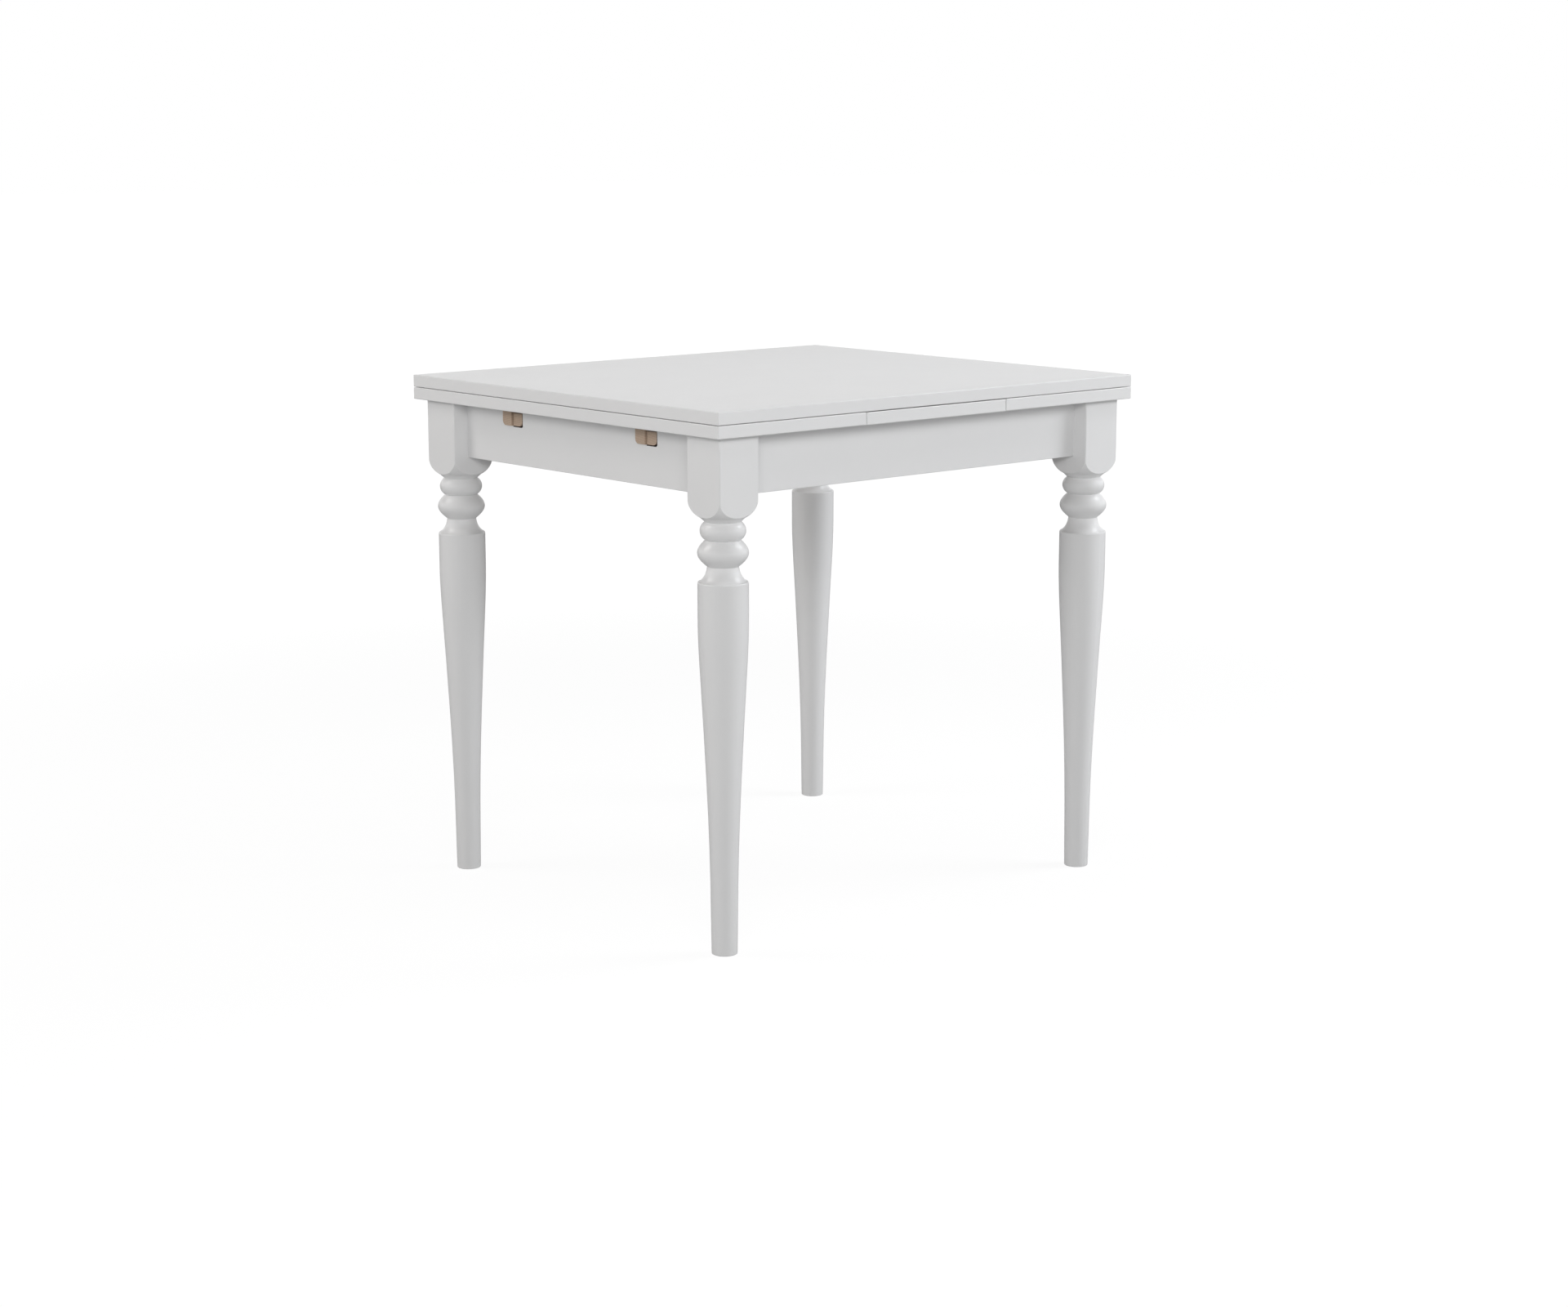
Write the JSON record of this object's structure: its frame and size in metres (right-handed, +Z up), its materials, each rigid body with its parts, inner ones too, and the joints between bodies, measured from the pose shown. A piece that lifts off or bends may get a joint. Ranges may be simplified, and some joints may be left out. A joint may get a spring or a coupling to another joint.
{
  "type": "draw-leaf dining table",
  "caption": "Draw-leaf dining table: a loose top over pull-out end leaves on wooden runners, on a frame of plain aprons and turned legs with square blocks.",
  "frame": {"origin": "centre of the footprint on the floor, between the four feet", "axes": "+Z up, +X along the draw of the leaves, -Y the near long side where the leaf joints show"},
  "size_m": [0.8, 0.7, 0.75],
  "materials": {
    "white_lacquer": "satin",
    "beech": "matte",
    "zinc_steel": "satin",
    "felt": "matte"
  },
  "bodies": {
    "frame": {"centre_board": "white_lacquer", "centre_board_screws": "zinc_steel", "centre_cross_rail": "beech", "cross_rail_dowels": "beech", "side_apron_front": "white_lacquer", "side_apron_back": "white_lacquer", "end_apron_left": "white_lacquer", "end_apron_right": "white_lacquer", "leg_back_right": "white_lacquer", "leg_back_left": "white_lacquer", "leg_front_left": "white_lacquer", "leg_front_right": "white_lacquer", "leg_dowels": "beech", "corner_bracket_back_right": "zinc_steel", "corner_bracket_back_left": "zinc_steel", "corner_bracket_front_left": "zinc_steel", "corner_bracket_front_right": "zinc_steel", "corner_bracket_screws": "zinc_steel", "hanger_bolts": "zinc_steel", "hanger_washers": "zinc_steel", "hanger_nuts": "zinc_steel", "top_felt_pads": "felt"},
    "top": {"top_panel": "white_lacquer", "top_guide_pegs": "beech", "top_peg_washers": "zinc_steel", "top_peg_screws": "zinc_steel"},
    "leaf_left": {"leaf_left_board": "white_lacquer", "leaf_left_runner_front": "beech", "leaf_left_runner_back": "beech", "leaf_left_runner_screws": "zinc_steel", "leaf_left_stop_pegs": "beech"},
    "leaf_right": {"leaf_right_board": "white_lacquer", "leaf_right_runner_front": "beech", "leaf_right_runner_back": "beech", "leaf_right_runner_screws": "zinc_steel", "leaf_right_stop_pegs": "beech"}
  },
  "joints": [
    {"name": "leaf_left_slide", "type": "slide", "parent": "frame", "child": "leaf_left", "axis": [-1, 0, 0], "range_m": [0, 0.265]},
    {"name": "leaf_right_slide", "type": "slide", "parent": "frame", "child": "leaf_right", "axis": [1, 0, 0], "range_m": [0, 0.265]},
    {"name": "top_lift", "type": "slide", "parent": "frame", "child": "top", "axis": [0, 0, 1], "range_m": [0, 0.03]}
  ]
}
